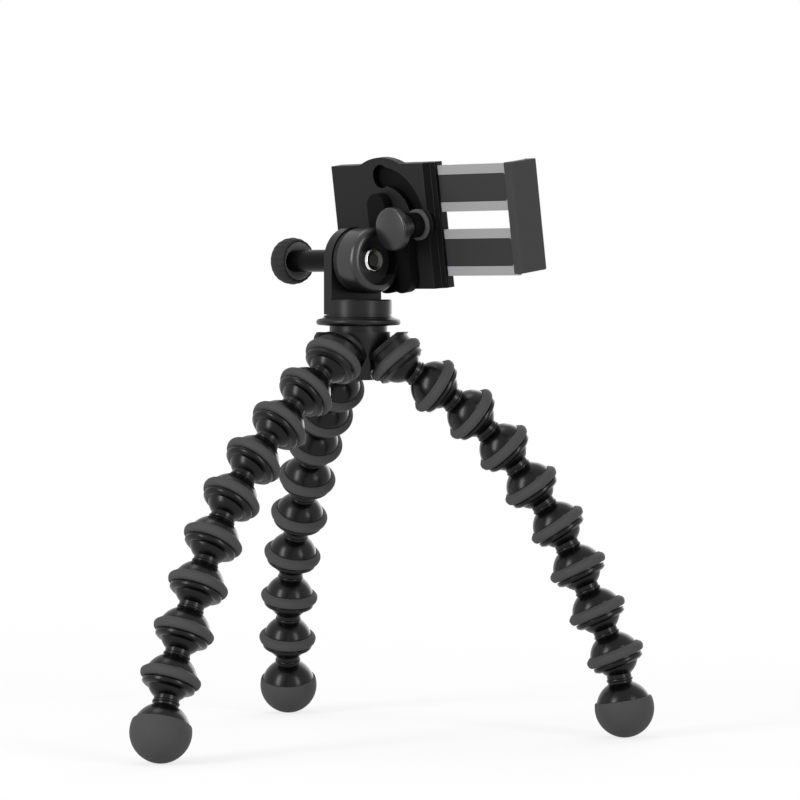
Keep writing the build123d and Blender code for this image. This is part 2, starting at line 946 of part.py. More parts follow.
def lock_knob():
    """Smooth round lock knob with a crowned face."""
    crown_r = (lock_knob_face_r**2 + lock_knob_crown**2) / (2 * lock_knob_crown)
    with BuildPart() as knob:
        with BuildSketch(lock_section):
            with BuildLine():
                Polyline(
                    (lock_bolt_r, lock_bolt_reach),
                    (lock_bolt_r, lock_stem_gap),
                    (lock_stem_r, lock_stem_gap),
                    (lock_stem_r, lock_knob_cone),
                    (lock_knob_r, lock_knob_back),
                    (lock_knob_r, lock_knob_shoulder),
                    (lock_knob_face_r, lock_knob_front),
                )
                RadiusArc(
                    (lock_knob_face_r, lock_knob_front),
                    (0, lock_knob_front + lock_knob_crown),
                    -crown_r,
                )
                Polyline(
                    (0, lock_knob_front + lock_knob_crown),
                    (0, lock_bolt_reach),
                    (lock_bolt_r, lock_bolt_reach),
                )
            make_face()
        revolve(axis=lock_line)
    return knob


def across_slide(level):
    """Plane square to the head's height, its x along the slide and its y out to the back."""
    return Plane(origin=hinge_centre + lean_up * level, x_dir=hinge_dir, z_dir=-lean_up)


def end_slope():
    """Wedge cut from the plate's right side, all but the boss round the slot's end."""
    with BuildPart() as wedge:
        with BuildSketch(across_slide(plate_bottom)):
            with BuildLine():
                Polyline(
                    (ridge_a, plate_back),
                    (plate_right, plate_back),
                    (plate_right, plate_back - end_drop),
                    (ridge_a + slope_width, plate_back - slope_drop),
                    (ridge_a, plate_back),
                )
            make_face()
        extrude(amount=plate_bottom - plate_top)
        with BuildSketch(face_plane(plate_back)):
            with Locations((lock_a, pivot_up)):
                Circle(ridge_boss_r)
        extrude(amount=-end_drop, mode=Mode.SUBTRACT)
    return wedge


def slot_outline(half_width):
    """Quarter turn slot round the pivot, with round ends."""
    inner_r = slot_r - half_width
    with BuildSketch(mode=Mode.PRIVATE) as slot:
        with Locations((pivot_a, pivot_up)):
            Circle(slot_r + half_width)
            Circle(inner_r, mode=Mode.SUBTRACT)
            Rectangle(
                slot_r + half_width,
                slot_r + half_width,
                align=(Align.MIN, Align.MIN),
                mode=Mode.INTERSECT,
            )
        with Locations((lock_a, pivot_up), (pivot_a, pivot_up + slot_r)):
            Circle(half_width)
    return slot.sketch


def clamp_back():
    """Back plate of the clamp with the arc slot and the track behind it."""
    wedge = end_slope()
    with BuildPart() as plate:
        with BuildSketch(face_plane(plate_back)):
            with Locations((pivot_a, pivot_up)):
                Circle(hump_r)
            with Locations((pivot_a, plate_bottom)):
                Rectangle(2 * hump_r, hump_r, align=(Align.CENTER, Align.MAX), mode=Mode.SUBTRACT)
            with Locations((plate_left, plate_bottom)):
                Rectangle(plate_right - plate_left, plate_top - plate_bottom, align=(Align.MIN, Align.MIN))
        extrude(amount=-plate_thickness)
        add(wedge.part, mode=Mode.SUBTRACT)
        with BuildSketch(face_plane(plate_back)):
            add(slot_outline(slot_half))
            with Locations((pivot_a, pivot_up + slot_r)):
                Circle(slot_key_r)
            with Locations((pivot_a, pivot_up)):
                Circle(pivot_r + running_gap)
        extrude(amount=-plate_thickness, mode=Mode.SUBTRACT)
        with BuildSketch(face_plane(plate_front)):
            add(slot_outline(track_half))
            with Locations((pivot_a, pivot_up)):
                Circle(pivot_head_r + head_room)
        extrude(amount=track_depth, mode=Mode.SUBTRACT)
        with BuildSketch(face_plane(plate_front)):
            with Locations(*clamp_screw_places):
                Circle(clamp_screw_r)
        extrude(amount=clamp_screw_bite, mode=Mode.SUBTRACT)
    return plate


def jaw_hook(wall_a, reach):
    """Lip at a jaw's front edge that keeps the phone in."""
    with BuildPart() as hook:
        with BuildSketch(face_plane(jaw_lip_back)):
            with Locations((wall_a + reach / 2, (jaw_low + jaw_high) / 2)):
                Rectangle(abs(reach), jaw_high - jaw_low)
        extrude(amount=-jaw_lip_thickness)
    return hook.part


def clamp_housing():
    """Front half of the clamp: the pocket for the slide, and the fixed jaw."""
    with BuildPart() as housing:
        with BuildSketch(face_plane(housing_back)):
            with Locations((plate_left, plate_bottom)):
                Rectangle(plate_right - plate_left, plate_top - plate_bottom, align=(Align.MIN, Align.MIN))
        extrude(amount=-housing_depth)
        with BuildSketch(face_plane(housing_back)):
            with Locations((jaw_left, jaw_low)):
                Rectangle(fixed_jaw_thickness, jaw_high - jaw_low, align=(Align.MIN, Align.MIN))
        extrude(amount=-jaw_depth)
        add(jaw_hook(jaw_inner, jaw_lip_reach))
        with BuildSketch(face_plane(cover_front)):
            with Locations((pocket_left, arm_low_bottom - slide_gap)):
                Rectangle(
                    pocket_right - pocket_left,
                    arm_high_top - arm_low_bottom + 2 * slide_gap,
                    align=(Align.MIN, Align.MIN),
                )
            for low, high in arm_spans:
                with Locations((pocket_left, low - slide_gap)):
                    Rectangle(
                        plate_right - pocket_left,
                        high - low + 2 * slide_gap,
                        align=(Align.MIN, Align.MIN),
                    )
        extrude(amount=pocket_front - cover_front, mode=Mode.SUBTRACT)
        with BuildSketch(face_plane(housing_back)):
            with Locations(cover_middle):
                Rectangle(cover_width, cover_height)
        extrude(amount=-cover_depth, mode=Mode.SUBTRACT)
        with BuildSketch(face_plane(housing_back)):
            with Locations(*clamp_screw_places):
                Circle(clamp_screw_r)
        extrude(amount=-housing_depth, mode=Mode.SUBTRACT)
        with BuildSketch(face_plane(housing_front)):
            with Locations(*clamp_screw_places):
                Circle(clamp_screw_head_r)
        extrude(amount=clamp_screw_head_h, mode=Mode.SUBTRACT)
        with BuildSketch(across_hinge(pocket_left)):
            with Locations(*[(row, spring_depth) for row in spring_rows]):
                Circle(rod_r)
        extrude(amount=-rod_seat, mode=Mode.SUBTRACT)
        with BuildSketch(across_hinge(pocket_right)):
            with Locations(*[(row, spring_depth) for row in spring_rows]):
                Circle(rod_r)
        extrude(amount=rod_seat, mode=Mode.SUBTRACT)
    return housing


def track_cover():
    """Thin sheet between the plate's track and the slide's pocket."""
    with BuildPart() as cover:
        with BuildSketch(face_plane(housing_back)):
            with Locations(cover_middle):
                Rectangle(cover_width - 2 * cover_gap, cover_height - 2 * cover_gap)
        extrude(amount=-cover_depth)
    return cover


def clamp_screws():
    """Two small screws that hold the housing to the back plate."""
    with BuildPart() as screws:
        with BuildSketch(face_plane(housing_front)):
            with Locations(*clamp_screw_places):
                Circle(clamp_screw_head_r)
        extrude(amount=clamp_screw_head_h)
        with BuildSketch(face_plane(housing_front + clamp_screw_head_h)):
            with Locations(*clamp_screw_places):
                Circle(clamp_screw_r)
        extrude(amount=housing_depth - clamp_screw_head_h + clamp_screw_bite)
        for place in clamp_screw_places:
            with BuildSketch(face_plane(housing_front)):
                with Locations(place):
                    Rectangle(clamp_screw_cross, clamp_screw_cross_w)
                    Rectangle(clamp_screw_cross_w, clamp_screw_cross)
            extrude(amount=clamp_screw_cross_w, mode=Mode.SUBTRACT)
    return screws


def slide_frame():
    """Sliding frame: two arms joined by a bar at each end, with sunk panels."""
    with BuildPart() as frame:
        with BuildSketch(face_plane(frame_back)):
            for low, high in arm_spans:
                with Locations((frame_inner, low)):
                    Rectangle(frame_outer - frame_inner, high - low, align=(Align.MIN, Align.MIN))
            with Locations((frame_inner, arm_low_bottom)):
                Rectangle(cross_bar, arm_high_top - arm_low_bottom, align=(Align.MIN, Align.MIN))
            with Locations((frame_outer, arm_low_bottom)):
                Rectangle(frame_bar, arm_high_top - arm_low_bottom, align=(Align.MAX, Align.MIN))
        extrude(amount=-frame_thickness)
        fillet(frame.edges().filter_by(Axis(hinge_centre, lean_back)).group_by(hinge_line)[1], frame_corner)
        with BuildSketch(face_plane(frame_back)):
            for low, high in arm_spans:
                with Locations(((panel_left + panel_right) / 2, (low + high) / 2)):
                    RectangleRounded(panel_right - panel_left, high - low - 2 * panel_border, frame_corner)
        extrude(amount=-panel_depth, mode=Mode.SUBTRACT)
        with BuildSketch(across_hinge(frame_inner)):
            with Locations(*[(row, spring_depth) for row in spring_rows]):
                Circle(rod_r + rod_room)
        extrude(amount=cross_bar, mode=Mode.SUBTRACT)
    return frame


def frame_panels():
    """Dark panels let into the two arms."""
    with BuildPart() as panels:
        with BuildSketch(face_plane(frame_back - panel_depth)):
            for low, high in arm_spans:
                with Locations(((panel_left + panel_right) / 2, (low + high) / 2)):
                    RectangleRounded(
                        panel_right - panel_left - 2 * panel_gap,
                        high - low - 2 * panel_border - 2 * panel_gap,
                        frame_corner - panel_gap,
                    )
        extrude(amount=panel_depth - panel_gap)
    return panels


def moving_jaw():
    """Jaw on the outer end of the slide."""
    with BuildPart() as jaw:
        with BuildSketch(face_plane(moving_jaw_back)):
            with Locations((frame_outer, jaw_low)):
                Rectangle(moving_jaw_thickness, jaw_high - jaw_low, align=(Align.MIN, Align.MIN))
        extrude(amount=jaw_front - moving_jaw_back)
        chamfer(jaw.faces().sort_by(hinge_line)[-1].edges(), jaw_edge)
        add(jaw_hook(frame_outer, -jaw_lip_reach))
    return jaw


def jaw_pad(wall_a, thickness):
    """Rubber pad on the inside of a jaw."""
    with BuildPart() as pad:
        with BuildSketch(face_plane(pad_back)):
            with Locations((wall_a + thickness / 2, (jaw_low + jaw_high) / 2)):
                Rectangle(abs(thickness), jaw_high - jaw_low - 2 * pad_margin)
        extrude(amount=pad_front - pad_back)
    return pad


def phone_rest_pad():
    """Thin rubber sheet that the phone's back lies on."""
    with BuildPart() as pad:
        with BuildSketch(face_plane(housing_front)):
            with Locations(((rest_left + rest_right) / 2, (rest_low + rest_high) / 2)):
                RectangleRounded(rest_right - rest_left, rest_high - rest_low, plate_corner)
        extrude(amount=-rest_thickness)
    return pad


def spring_rods():
    """Two rods inside the housing that guide the springs and the frame's inner bar."""
    with BuildPart() as rods:
        with BuildSketch(across_hinge(pocket_left - rod_seat)):
            with Locations(*[(row, spring_depth) for row in spring_rows]):
                Circle(rod_r)
        extrude(amount=pocket_right - pocket_left + 2 * rod_seat)
    return rods


def jaw_springs():
    """Two springs, pressed between the frame's inner bar and the housing's end wall."""
    start = frame_inner + cross_bar + spring_gap
    length = pocket_right - spring_gap - start
    springs = []
    for row in spring_rows:
        foot = hinge_centre + hinge_dir * start + lean_up * row + lean_back * spring_depth
        with BuildPart() as spring:
            with BuildLine() as curl:
                Helix(length / spring_turns, length, spring_r, center=foot, direction=hinge_dir)
            with BuildSketch(Plane(origin=curl.line @ 0, z_dir=curl.line % 0)):
                Circle(spring_wire_r)
            sweep(is_frenet=True)
        springs.append(spring.part)
    with BuildPart() as group:
        add(springs)
    return group


def save(name, *pieces):
    """Label a finished piece, or a group of separate pieces, and write it out."""
    group = pieces[0].part if len(pieces) == 1 else Compound([piece.part.solid() for piece in pieces])
    group.label = name
    export_step(group, f"parts/{name}.step")


os.makedirs("parts", exist_ok=True)
save("hub", hub_body())
save("hub_grip_rings", hub_grip_rings())
save("tripod_screw", tripod_screw())
save("platform_wheel", lock_wheel())
save("turning_base", turning_base())
save("base_insert", base_insert())
save("friction_washer", friction_washer())
save("tilt_block", tilt_block())
save("tilt_bolt", hinge_bolt())
save("tilt_nut", hinge_nut())
save("tilt_knob", tilt_knob())
save("tilt_knob_grip", tilt_knob_grip())
save("pivot_bolt", pivot_bolt())
save("slot_nut", slot_nut())
save("slot_bush", slot_bush())
save("lock_bolt", lock_bolt())
save("lock_knob", lock_knob())
save("clamp_back", clamp_back())
save("clamp_housing", clamp_housing())
save("track_cover", track_cover())
save("clamp_screws", clamp_screws())
save("fixed_jaw_pad", jaw_pad(jaw_inner, pad_thickness))
save("phone_rest_pad", phone_rest_pad())
save("slide_frame", slide_frame())
save("frame_panels", frame_panels())
save("moving_jaw", moving_jaw())
save("moving_jaw_pad", jaw_pad(frame_outer, -pad_thickness))
save("spring_rods", spring_rods())
save("jaw_springs", jaw_springs())
for leg in leg_angles:
    links = leg_links(leg)
    for number, (ball, along) in enumerate(links[:-1], 1):
        frame = turned_plane(ball, along)
        save(f"{leg}_bead_{number}", bead_shell(frame), grip_ring(frame, bead_pitch))
    frame = turned_plane(*links[-1])
    save(f"{leg}_foot", foot_shell(frame))
    save(f"{leg}_foot_cap", foot_cap(frame))
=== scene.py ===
import json
import logging
from dataclasses import dataclass, field
from enum import Enum
from math import radians
from typing import Iterable, Optional, Sequence

import bmesh
import bpy
import numpy as np
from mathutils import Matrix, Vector


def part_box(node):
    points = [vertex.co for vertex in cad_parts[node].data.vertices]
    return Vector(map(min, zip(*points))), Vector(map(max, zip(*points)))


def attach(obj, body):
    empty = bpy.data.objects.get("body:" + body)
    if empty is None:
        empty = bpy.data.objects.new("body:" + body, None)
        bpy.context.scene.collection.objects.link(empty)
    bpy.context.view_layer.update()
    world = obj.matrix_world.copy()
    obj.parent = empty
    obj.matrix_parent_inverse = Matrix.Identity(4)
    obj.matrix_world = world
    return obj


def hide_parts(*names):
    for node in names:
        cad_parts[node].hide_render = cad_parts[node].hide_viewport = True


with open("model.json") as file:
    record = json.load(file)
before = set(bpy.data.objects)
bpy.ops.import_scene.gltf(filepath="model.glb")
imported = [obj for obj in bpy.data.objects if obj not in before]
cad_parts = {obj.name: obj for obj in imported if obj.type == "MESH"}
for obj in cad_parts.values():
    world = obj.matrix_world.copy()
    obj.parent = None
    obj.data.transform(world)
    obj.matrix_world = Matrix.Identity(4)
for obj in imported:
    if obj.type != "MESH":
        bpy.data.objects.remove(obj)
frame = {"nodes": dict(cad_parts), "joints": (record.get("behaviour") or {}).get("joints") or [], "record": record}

LOG = logging.getLogger("flexible_leg_tripod")
MM = 0.001
UP = np.array([0.0, 0.0, 1.0])
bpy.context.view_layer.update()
WELD = 1e-7
CAD_WELD = 2e-6
ON_SPINDLE = 1e-6
FLAT_ANGLE = 0.5
EDGE_ANGLE = 30.0
NEAR_UPRIGHT = 0.95
CURVE_ANGLE = 50.0

# Colours and nodes


def linear(hex_colour: str) -> tuple[float, float, float, float]:
    """Turn an sRGB hex colour into linear values.

    Args:
        hex_colour: six hex digits with a leading #.

    Returns:
        Red, green, blue and an alpha of 1, each piecewise gamma decoded.
    """
    raw = np.array([int(hex_colour[i : i + 2], 16) for i in (1, 3, 5)]) / 255.0
    low = raw / 12.92
    high = ((raw + 0.055) / 1.055) ** 2.4
    red, green, blue = np.where(raw <= 0.04045, low, high)
    return float(red), float(green), float(blue), 1.0


def add_node(
    tree: bpy.types.NodeTree,
    kind: str,
    settings: Optional[dict] = None,
    links: Optional[dict] = None,
) -> bpy.types.Node:
    """Add one shader node.

    Args:
        tree: the node tree that receives it.
        kind: Blender's name for the node.
        settings: values by property name, or by socket name or number.
        links: output sockets by the name or number of the input they feed.

    Returns:
        The new node.
    """
    node = tree.nodes.new(kind)
    for key, value in (settings or {}).items():
        if isinstance(key, str) and hasattr(node, key):
            setattr(node, key, value)
        else:
            node.inputs[key].default_value = value
    for key, output in (links or {}).items():
        tree.links.new(output, node.inputs[key])
    return node


class Grain(Enum):
    """Relief that the making leaves on a surface: width and depth, in millimetres."""

    POLISHED = (0.6, 0.0)
    SPARKED_FINE = (0.3, 0.003)
    SPARKED = (0.3, 0.004)
    SPARKED_COARSE = (0.3, 0.006)
    SPARKED_NYLON = (0.35, 0.004)
    PAD_RUBBER = (0.4, 0.008)
    GRIP_RUBBER = (0.5, 0.01)


@dataclass(frozen=True)
class Finish:
    """One real material and the way its surface was made."""

    name: str
    colour: str
    roughness: float
    grain: Grain = Grain.POLISHED
    metallic: float = 0.0
    specular: float = 0.5
    slot: str = "black_satin_plastic"
    noise_detail: float = 2.0
    noise_roughness: float = 0.55

    def material(self) -> bpy.types.Material:
        """Build the node material, or hand back the one already built.

        Returns:
            A material whose relief is noise on Object coordinates.
        """
        found = bpy.data.materials.get(self.name)
        if found:
            return found
        made = bpy.data.materials.new(self.name)
        made.use_nodes = True
        tree = made.node_tree
        tree.nodes.clear()
        shader = add_node(
            tree,
            "ShaderNodeBsdfPrincipled",
            {
                "Base Color": linear(self.colour),
                "Roughness": self.roughness,
                "Metallic": self.metallic,
            },
        )
        if self.metallic == 0:
            shader.inputs["Specular IOR Level"].default_value = self.specular
        add_node(tree, "ShaderNodeOutputMaterial", {}, {"Surface": shader.outputs["BSDF"]})
        width, depth = (MM * size for size in self.grain.value)
        if depth > 0:
            self.add_relief(tree, shader, width, depth)
        return made

    def add_relief(
        self, tree: bpy.types.NodeTree, shader: bpy.types.Node, width: float, depth: float
    ) -> None:
        """Roughen a shader's normal by noise on Object coordinates.

        Args:
            tree: the material's node tree.
            shader: the node whose normal is roughened.
            width: width of the grain, in metres.
            depth: depth of the relief, in metres.
        """
        place = add_node(tree, "ShaderNodeTexCoord")
        noise = add_node(
            tree,
            "ShaderNodeTexNoise",
            {
                "Scale": 1.0 / width,
                "Detail": self.noise_detail,
                "Roughness": self.noise_roughness,
            },
            {"Vector": place.outputs["Object"]},
        )
        bump = add_node(
            tree,
            "ShaderNodeBump",
            {"Strength": 1.0, "Distance": depth},
            {"Height": noise.outputs["Fac"]},
        )
        tree.links.new(bump.outputs["Normal"], shader.inputs["Normal"])


# Polished black ABS of the beads: deep black with soft highlights
GLOSS_ABS = Finish(
    "polished_black_abs", "#040404", 0.27, specular=0.24, slot="black_gloss_plastic"
)
# Satin black nylon: broad highlights on the hub, the wheel and the base
SATIN_NYLON = Finish(
    "satin_black_nylon", "#0d0d0e", 0.36, Grain.SPARKED_NYLON, specular=0.25
)
# Grey thermoplastic rubber: flat mid grey, almost no highlight
GREY_TPR = Finish(
    "grey_moulded_rubber", "#3e3e3f", 0.7, Grain.GRIP_RUBBER, specular=0.2, slot="grey_rubber"
)
# Black rubber of the pads, the washer and the knob's rim
DARK_TPR = Finish(
    "black_moulded_rubber", "#202021", 0.68, Grain.PAD_RUBBER, specular=0.2, slot="dark_rubber"
)
# Spark eroded dark grey ABS: even matte grey with a fine tooth
DARK_ABS = Finish(
    "spark_eroded_dark_abs",
    "#101011",
    0.55,
    Grain.SPARKED_COARSE,
    specular=0.2,
    slot="dark_grey_plastic",
)
# Panels let into the frame, a shade lighter and flatter than the plate
PANEL_ABS = Finish(
    "flat_grey_panel_abs", "#2a2a2b", 0.6, Grain.SPARKED, specular=0.2, slot="dark_grey_plastic"
)
# Moving jaw, the lightest of the clamp's dark mouldings
JAW_ABS = Finish(
    "flat_grey_jaw_abs", "#323233", 0.55, Grain.SPARKED, specular=0.2, slot="dark_grey_plastic"
)
# Painted shade: a darker, less reflective black on the tilt knob's stem, between its dish and the barrel, the
# darkest face of the head
STEM_SHADE_ABS = Finish(
    "stem_painted_shade_abs", "#050505", 0.3, specular=0.08, slot="black_gloss_plastic"
)
# Satin black ABS of the barrel and the knobs: a broad soft highlight
SATIN_ABS = Finish(
    "satin_black_abs",
    "#161617",
    0.32,
    Grain.SPARKED_FINE,
    specular=0.55,
    slot="black_gloss_plastic",
)
# Dish of the tilt knob painted light grey, a painted reflection of the bright surroundings: the light ring round
# its stem
DISH_PAINTED_LIGHT_ABS = Finish(
    "dish_painted_light_abs",
    "#98989a",
    0.4,
    Grain.SPARKED_FINE,
    specular=0.4,
    slot="black_gloss_plastic",
)
# Painted highlight on the clamp plate's broken edges: thin lighter lines round the slot and the ridge
EDGE_HIGHLIGHT_ABS = Finish("painted_edge_highlight_abs", "#3c3c3d", 0.35, specular=0.6, slot="dark_grey_plastic")
# Painted shade: near-black ABS that reflects little, put where little light falls: the bracket, the slot's walls,
# the plate's end slope and the track
SHADED_ABS = Finish(
    "painted_shade_black_abs", "#0b0b0c", 0.6, Grain.SPARKED, specular=0.06, slot="dark_grey_plastic"
)
# Pale grey acetal of the sliding frame
PALE_ACETAL = Finish(
    "pale_grey_acetal", "#8f8f90", 0.42, specular=0.25, slot="light_grey_plastic"
)
# Mid grey acetal of the bush in the arc slot
BUSH_ACETAL = Finish(
    "mid_grey_acetal", "#5f5f60", 0.42, specular=0.25, slot="light_grey_plastic"
)
# Metals of the screws, springs, nuts and inserts
ZINC = Finish("zinc_plated_steel", "#b4b5b8", 0.32, metallic=1.0, slot="zinc_steel")
CHROME = Finish("chromed_steel", "#6f6f6a", 0.22, metallic=1.0, slot="chromed_steel")
BOLT_STEEL = Finish("dull_zinc_bolt", "#4c4c46", 0.4, metallic=1.0, slot="zinc_steel")
BRASS = Finish("turned_brass", "#c9a25c", 0.28, metallic=1.0, slot="brass")


# Shapes


def unit(vector: np.ndarray) -> np.ndarray:
    """Scale a vector to length one.

    Args:
        vector: any vector but nought.

    Returns:
        The vector divided by its length.
    """
    return vector / np.linalg.norm(vector)


@dataclass(frozen=True)
class Spindle:
    """Line that a turned shape is turned about, in metres."""

    origin: np.ndarray
    along: np.ndarray

    def sides(self) -> tuple[np.ndarray, np.ndarray]:
        """Find two directions across the line.

        Returns:
            Two unit vectors square to the line and to each other.
        """
        helper = UP if abs(self.along[2]) < NEAR_UPRIGHT else np.array([1.0, 0.0, 0.0])
        first = unit(np.cross(self.along, helper))
        return first, np.cross(self.along, first)


def rounded(corners: Sequence[tuple[float, float, float]], steps: int = 5) -> np.ndarray:
    """Round the corners of an outline.

    Each inner corner is replaced by a quadratic curve that starts and ends at the
    corner's own reach along its two edges: (1-t)^2 A + 2t(1-t) B + t^2 C.

    Args:
        corners: radius, height and reach of each corner, in millimetres.
        steps: points on each rounded corner.

    Returns:
        Points of the outline, one row each.
    """
    data = np.array(corners, float)
    places, reaches = data[:, :2], data[:, 2]
    rows = [places[:1]]
    spread = np.linspace(0.0, 1.0, steps)[:, None]
    for index in range(1, len(places) - 1):
        here, reach = places[index], reaches[index]
        if reach <= 0:
            rows.append(here[None, :])
            continue
        start = here + unit(places[index - 1] - here) * reach
        end = here + unit(places[index + 1] - here) * reach
        rows.append((1 - spread) ** 2 * start + 2 * spread * (1 - spread) * here + spread**2 * end)
    rows.append(places[-1:])
    return np.concatenate(rows)


def arc(radius: float, centre: float, start: float, end: float, steps: int) -> np.ndarray:
    """Points of a circle whose centre lies on the spindle.

    Radius r sin(a) and height c + r cos(a), with a in degrees from the far pole.

    Args:
        radius: the circle's radius r.
        centre: the height c of its centre.
        start: angle of the first point.
        end: angle of the last point.
        steps: number of points.

    Returns:
        Radius and height of each point.
    """
    angle = np.radians(np.linspace(start, end, steps))
    return np.stack([radius * np.sin(angle), centre + radius * np.cos(angle)], axis=1)


def smooth_through(points: Sequence[tuple[float, float]], steps: int) -> np.ndarray:
    """Smooth curve through points by cardinal (Catmull-Rom) pieces.

    Args:
        points: radius and height of each point.
        steps: points on each stretch.

    Returns:
        Dense points from the first to the last.
    """
    data = np.array(points, float)
    padded = np.vstack([2 * data[0] - data[1], data, 2 * data[-1] - data[-2]])
    t = np.linspace(0.0, 1.0, steps, endpoint=False)[None, :, None]
    p0, p1, p2, p3 = (padded[i : len(padded) - 3 + i][:, None, :] for i in range(4))
    square = 2 * p0 - 5 * p1 + 4 * p2 - p3
    cube = 3 * p1 - p0 - 3 * p2 + p3
    curve = 0.5 * (2 * p1 + (p2 - p0) * t + square * t**2 + cube * t**3)
    return np.vstack([curve.reshape(-1, 2), data[-1:]])


def turned_grid(profile: np.ndarray, spindle: Spindle, steps: int) -> np.ndarray:
    """Turn a profile about a spindle.

    Point = origin + along * height + (side1 cos a + side2 sin a) * radius.

    Args:
        profile: radius and height of each row, in millimetres.
        spindle: line to turn about.
        steps: columns round the spindle.

    Returns:
        Grid of points, rows by columns by three, in metres.
    """
    angle = np.linspace(0.0, 2 * np.pi, steps, endpoint=False)
    first, second = spindle.sides()
    ring = np.cos(angle)[:, None] * first + np.sin(angle)[:, None] * second
    radius, height = (profile * MM).T[:, :, None, None]
    return spindle.origin + height * spindle.along + radius * ring[None, :, :]


def grid_faces(rows: int, columns: int, close_rows: bool) -> np.ndarray:
    """Four-sided faces between neighbouring rows and columns, columns wrapped.

    Args:
        rows: rows of points.
        columns: columns of points.
        close_rows: whether the last row joins the first.

    Returns:
        Corner numbers of each face.
    """
    count = rows if close_rows else rows - 1
    row, column = np.meshgrid(np.arange(count), np.arange(columns), indexing="ij")
    next_row, next_column = (row + 1) % rows, (column + 1) % columns
    corners = [
        row * columns + column,
        row * columns + next_column,
        next_row * columns + next_column,
        next_row * columns + column,
    ]
    return np.stack([c.ravel() for c in corners], axis=1)


def make_piece(
    name: str,
    points: np.ndarray,
    faces: Iterable,
    finish: Finish,
    body: str,
    replaced: Sequence[str] = (),
    sharp_angle: float = CURVE_ANGLE,
) -> bpy.types.Object:
    """Put points and faces into a closed mesh piece that rides on a body.

    Args:
        name: name of the piece.
        points: corners, in metres.
        faces: corner numbers of each face.
        finish: what it is made of.
        body: body that it rides on.
        replaced: CAD nodes that it stands for.
        sharp_angle: edges steeper than this stay sharp, in degrees.

    Returns:
        The new object.
    """
    mesh = bpy.data.meshes.new(name)
    mesh.from_pydata(points.reshape(-1, 3).tolist(), [], [list(map(int, f)) for f in faces])
    tidy = bmesh.new()
    tidy.from_mesh(mesh)
    bmesh.ops.remove_doubles(tidy, verts=tidy.verts, dist=WELD)
    bmesh.ops.recalc_face_normals(tidy, faces=tidy.faces)
    tidy.to_mesh(mesh)
    tidy.free()
    return finish_piece(name, mesh, finish, body, replaced, sharp_angle)


def finish_piece(
    name: str,
    mesh: bpy.types.Mesh,
    finish: Finish,
    body: str,
    replaced: Sequence[str],
    sharp_angle: float,
) -> bpy.types.Object:
    """Link a mesh as an object, shade it, dress it and let it ride.

    Args:
        name: name of the piece.
        mesh: its finished mesh.
        finish: what it is made of.
        body: body that it rides on.
        replaced: CAD nodes that it stands for.
        sharp_angle: edges steeper than this stay sharp, in degrees.

    Returns:
        The new object.
    """
    mesh.shade_smooth()
    mesh.set_sharp_from_angle(angle=radians(sharp_angle))
    mesh.materials.clear()
    mesh.materials.append(finish.material())
    piece = bpy.data.objects.new(name, mesh)
    bpy.context.scene.collection.objects.link(piece)
    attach(piece, body)
    if replaced:
        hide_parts(*replaced)
    LOG.info("%s: %d faces on %s", name, len(mesh.polygons), body)
    return piece


def softened_copy(
    node: str,
    finish: Finish,
    edge_mm: float,
    segments: int = 3,
    name: Optional[str] = None,
) -> bpy.types.Object:
    """Stand a copy of a CAD solid with broken edges in its place.

    The copy's loose triangles are merged and its flat faces joined, then a bevel
    rounds each edge steeper than EDGE_ANGLE by the given width.

    Args:
        node: CAD node.
        finish: what it is made of.
        edge_mm: width of the broken edge.
        segments: faces across the broken edge.
        name: name of the piece, the node's own with a word added if left out.

    Returns:
        The new object.
    """
    mesh = frame["nodes"][node].data.copy()
    tidy = bmesh.new()
    tidy.from_mesh(mesh)
    bmesh.ops.remove_doubles(tidy, verts=tidy.verts, dist=CAD_WELD)
    bmesh.ops.dissolve_limit(
        tidy,
        angle_limit=radians(FLAT_ANGLE),
        verts=tidy.verts,
        edges=tidy.edges,
        delimit={"NORMAL"},
    )
    tidy.to_mesh(mesh)
    tidy.free()
    if mesh.has_custom_normals:
        mesh.attributes.remove(mesh.attributes["custom_normal"])
    title = name or f"{node}_moulding"
    piece = finish_piece(title, mesh, finish, body_of(node), [node], EDGE_ANGLE)
    bevel = piece.modifiers.new("broken_edges", "BEVEL")
    bevel.width = edge_mm * MM
    bevel.segments = segments
    bevel.limit_method = "ANGLE"
    bevel.angle_limit = radians(EDGE_ANGLE)
    bevel.harden_normals = True
    return piece


def repaint(piece: bpy.types.Object, finish: Finish, chosen: np.ndarray) -> None:
    """Give some faces of a piece another finish.

    Args:
        piece: the piece.
        finish: the finish of the chosen faces.
        chosen: true for each face that takes it.
    """
    mesh = piece.data
    numbers = np.empty(len(mesh.polygons), np.int32)
    mesh.polygons.foreach_get("material_index", numbers)
    numbers[chosen] = len(mesh.materials)
    mesh.materials.append(finish.material())
    mesh.polygons.foreach_set("material_index", numbers)


def body_of(node: str) -> str:
    """Find the body that a CAD node belongs to.

    Args:
        node: name of the node.

    Returns:
        Name of the body.
    """
    for body, members in frame["record"]["behaviour"]["bodies"].items():
        if node in members:
            return body
    raise KeyError(node)


def joint_at(body: str) -> np.ndarray:
    """Find the place of the joint that moves a body.

    Args:
        body: name of the body.

    Returns:
        The place, in metres.
    """
    for joint in frame["joints"]:
        if joint["child"] == body:
            return np.array(joint["pos_m"], float)
    raise KeyError(body)


def joint_axis(body: str) -> np.ndarray:
    """Find the axis of the joint that moves a body.

    Args:
        body: name of the body.

    Returns:
        A vector of length one.
    """
    for joint in frame["joints"]:
        if joint["child"] == body:
            return unit(np.array(joint["axis"], float))
    raise KeyError(body)


# Legs


